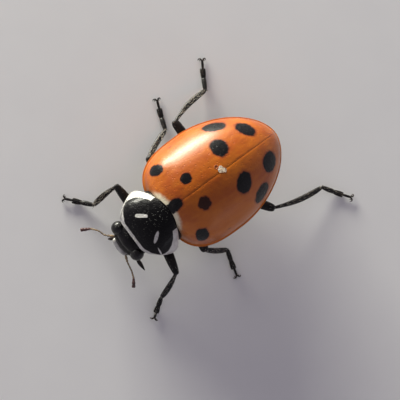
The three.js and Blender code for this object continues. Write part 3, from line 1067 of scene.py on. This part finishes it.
# Stations along a thigh and a shin, as shares of its length, with half widths across and through.
THIGH = ((0, 0.09, 0.07), (0.08, 0.14, 0.09), (0.25, 0.175, 0.115), (0.5, 0.186, 0.12), (0.75, 0.18, 0.112),
         (0.9, 0.165, 0.1), (0.97, 0.13, 0.075), (1.0, 0.07, 0.04))
FRONT_THIGH = ((0, 0.1, 0.07), (0.08, 0.155, 0.09), (0.25, 0.195, 0.115), (0.5, 0.188, 0.115), (0.75, 0.158, 0.105),
               (0.9, 0.128, 0.09), (0.97, 0.095, 0.07), (1.0, 0.05, 0.04))
SHIN = ((0, 0.04, 0.036), (0.02, 0.058, 0.048), (0.1, 0.064, 0.05), (0.25, 0.08, 0.056), (0.4, 0.1, 0.064),
        (0.58, 0.112, 0.07), (0.8, 0.108, 0.068), (0.93, 0.092, 0.062), (1.0, 0.07, 0.05))
MIDDLE_SHIN = ((0, 0.05, 0.04), (0.02, 0.08, 0.052), (0.1, 0.096, 0.056), (0.25, 0.104, 0.06), (0.4, 0.106, 0.064),
               (0.58, 0.108, 0.068), (0.8, 0.1, 0.066), (0.93, 0.086, 0.06), (1.0, 0.066, 0.05))
HEEL = ((0, 0.05, 0.04), (0.12, 0.078, 0.05), (0.6, 0.096, 0.058), (0.92, 0.096, 0.056), (1.0, 0.06, 0.035))
LOBE = ((0, 0.04, 0.03), (0.25, 0.064, 0.04), (0.6, 0.06, 0.036), (0.9, 0.044, 0.028), (1.0, 0.02, 0.014))
CLAW_JOINT = ((0, 0.034, 0.032), (0.15, 0.04, 0.036), (0.5, 0.042, 0.038), (0.85, 0.056, 0.046), (1.0, 0.036, 0.034))


def limb(name, stations, start, end, sign=1, bow=0.0, facets=16):
    """A limb laid between two points, bowed away from the body."""
    span = Vector(end) - Vector(start)
    aside = Vector((0, 0, 1)).cross(span)
    bow = math.copysign(bow, aside.x * sign)
    made = turned(name, [(share * span.length, across, deep, bow * math.sin(math.pi * share))
                         for share, across, deep in stations], facets)
    subdivided(made, 1)
    return laid(made, start, end)


def foot(name, ankle, toe):
    """Tarsus: a wedge-shaped first joint, a two-lobed second one, and the slender claw joint that it carries."""
    aim = toe - ankle
    aim.z = 0
    reach = aim.length
    aim.normalize()
    across = Vector((-aim.y, aim.x, 0))

    def at(share, height, aside=0.0):
        return Vector((ankle.x, ankle.y, height)) + aim * reach * share + across * aside
    heel = limb("heel", HEEL, at(-0.02, ANKLE_Z - 0.02), at(0.4, 0.1), facets=12)
    lobes = [limb("lobe", LOBE, at(0.34, 0.09, aside * 0.016), at(0.7, 0.05, aside * 0.07), facets=10)
             for aside in (1, -1)]
    claw_joint = limb("claw_joint", CLAW_JOINT, at(0.45, 0.1), at(0.95, 0.1), facets=10)
    tarsus = joined(name + "_tarsus_shell", [heel, *lobes, claw_joint])
    hooks = []
    for aside in (1, -1):
        hooks.append(rod("hook", [at(0.92, 0.1, aside * 0.015), at(0.99, 0.1, aside * 0.06),
                                  at(0.99, 0.062, aside * 0.125), at(0.95, 0.004, aside * 0.145)],
                         (0.03, 0.028, 0.02, 0.004), 8))
        hooks.append(rod("tooth", [at(0.97, 0.09, aside * 0.045), at(0.955, 0.055, aside * 0.08),
                                   at(0.92, 0.03, aside * 0.085)], (0.02, 0.016, 0.004), 6))
    claws = joined(name + "_claws", hooks)
    return tarsus, claws, aim


# Pale bristles along the upper side of a shin, how many and how thick on each side. They are in part painted glints
# where the light falls, so the right, lit side gets more and thicker ones.
SHIN_GLINT_BRISTLES = {"left": (30, 0.004), "right": (85, 0.007)}


def legs():
    coat = Coat("leg_bristles", 36)
    for name, (knee, ankle, toe) in STANCE.items():
        pair, side = name.split("_")
        sign = SIDES[side]
        hip = mirrored(HIPS[pair], sign)
        knee = mirrored(knee, sign)
        ankle = mirrored((*ankle, ANKLE_Z), sign)
        toe = mirrored((*toe, 0), sign)
        coxa = ball(name + "_hip", hip, HIP_RADII[pair], 24, 16)
        root = between(hip, knee, 0.16) - Vector((0, 0, 0.13)) + Vector(ROOTS.get(name, (0, 0, 0)))
        knee_top = knee - Vector((0, 0, 0.08))
        down_thigh = (knee_top - root).normalized()
        femur = limb(name + "_thigh", FRONT_THIGH if pair == "front" else THIGH, root, knee_top + down_thigh * 0.05)
        shin_start = knee_top - down_thigh * 0.03 + Vector((0, 0, 0.01))
        bow = 0.1 if pair == "hind" else 0.04
        tibia = limb(name + "_shin", MIDDLE_SHIN if pair == "middle" else SHIN, shin_start, ankle, sign, bow)
        down_shin = (ankle - shin_start).normalized()
        spurs = [rod("spur", [ankle - down_shin * 0.05, ankle + down_shin * 0.05 + Vector((0, 0, -0.02)) + offset,
                              ankle + down_shin * 0.12 + Vector((0, 0, -0.05)) + offset * 1.6],
                     (0.014, 0.011, 0.003), 6) for offset in (Vector((0.04, 0, 0)), Vector((-0.04, 0, 0)))]
        tibia = joined(name + "_shin", [tibia, *spurs])
        tarsus, claws, aim = foot(name, ankle, toe)
        # Painted glints: the right, lit side's shins get more and thicker pale bristles than the left.
        count, thick = SHIN_GLINT_BRISTLES[side]
        coat.grow(tibia, count, (0.05, 0.1), down_shin, 0.3, thick, where=lambda point, normal: normal.z > 0.45)
        coat.grow(tibia, 45, (0.04, 0.08), down_shin, 0.4, 0.0045)
        coat.grow(femur, 40, (0.04, 0.07), down_thigh, 0.3, 0.0045)
        coat.grow(tarsus, 50, (0.03, 0.06), aim, 0.4, 0.0045)
        coat.grow(tarsus, 120, (0.025, 0.045), aim, 0.8, 0.0045, where=lambda point, normal: normal.z < -0.4)
        settled(coxa, LOOKS.leg, [f"leg_{name}_coxa"])
        settled(femur, LOOKS.leg, [f"leg_{name}_femur"])
        settled(tibia, LOOKS.leg, [f"leg_{name}_tibia"])
        settled(tarsus, LOOKS.leg, [f"leg_{name}_tarsus"])
        settled(claws, LOOKS.claw)
    settled(coat.made(), LOOKS.hair)


wing_cases()
seam_lining()
scutellum_and_scar()
neck_shield()
head()
mouthparts()
palps()
feelers()
underside()
legs()

# The stage.
TILT = math.radians(12)
PICTURE = 14.29
DISTANCE = 80.0
LOOK_AT = Vector((0.354, -0.612, 1.0))
HORIZON = 0.62
ZENITH = 0.2


def in_frame(point):
    return Vector((point[0] + SUTURE_X, point[1] + MIDDLE_Y, point[2])) * MM


def stage():
    bpy.ops.mesh.primitive_plane_add(size=1)
    floor = named("floor")
    looks = looks_of("pale_floor", Roughness=0.6)
    g = Graph(looks)
    place = g.place()
    g.set("Base Color", g.mix(g.noise(place, 0.5), tint(230, 229, 231), tint(236, 235, 236)))
    floor.data.materials.append(looks)
    world = bpy.data.worlds.new("studio")
    bpy.context.scene.world = world
    world.use_nodes = True
    nodes, links = world.node_tree.nodes, world.node_tree.links
    height = nodes.new("ShaderNodeSeparateXYZ")
    links.new(nodes.new("ShaderNodeTexCoord").outputs["Generated"], height.inputs[0])
    dimming = nodes.new("ShaderNodeMapRange")
    for socket, value in zip(dimming.inputs, (0, 0.0, 1.0, HORIZON, ZENITH)):
        socket.default_value = value
    links.new(height.outputs["Z"], dimming.inputs["Value"])
    links.new(dimming.outputs["Result"], nodes["Background"].inputs["Strength"])
    nodes["Background"].inputs["Color"].default_value = tint(230, 224, 238)


def lamp(name, toward, distance, size, power, colour=(1, 1, 1)):
    """A soft box at a distance in millimetres, in a direction from the beetle."""
    bpy.ops.object.light_add(type="AREA")
    light = named(name)
    light.data.shape = "RECTANGLE"
    light.data.size, light.data.size_y = (s * MM for s in size)
    light.data.energy = power
    light.data.color = colour
    light.visible_camera = False
    direction = Vector(toward).normalized()
    light.location = in_frame((0, 0, 1)) + direction * distance * MM
    light.rotation_mode = "QUATERNION"
    light.rotation_quaternion = direction.to_track_quat("Z", "Y")


def camera():
    rear = Vector((0, math.cos(TILT), math.sin(TILT)))
    left = Vector((1, 0, 0))
    back = Vector((0, -math.sin(TILT), math.cos(TILT)))
    right = 0.806 * rear + 0.592 * left
    up = back.cross(right)
    bpy.ops.object.camera_add()
    made = named("camera")
    made.matrix_world = Matrix.Translation(in_frame(LOOK_AT) + back * DISTANCE * MM) @ Matrix(
        (right, up, back)).transposed().to_4x4()
    made.data.lens = made.data.sensor_width * DISTANCE / PICTURE
    made.data.clip_start = 0.001
    made.data.clip_end = 10
    bpy.context.scene.camera = made


stage()
lamp("key", (-0.95, 0.22, 0.12), 150, (100, 44), 0.63, (1.0, 0.995, 0.86))
lamp("fill", (0.95, 0.05, 0.28), 120, (60, 24), 0.003, (0.92, 0.95, 1.0))
camera()
bpy.context.scene.view_settings.view_transform = "Standard"
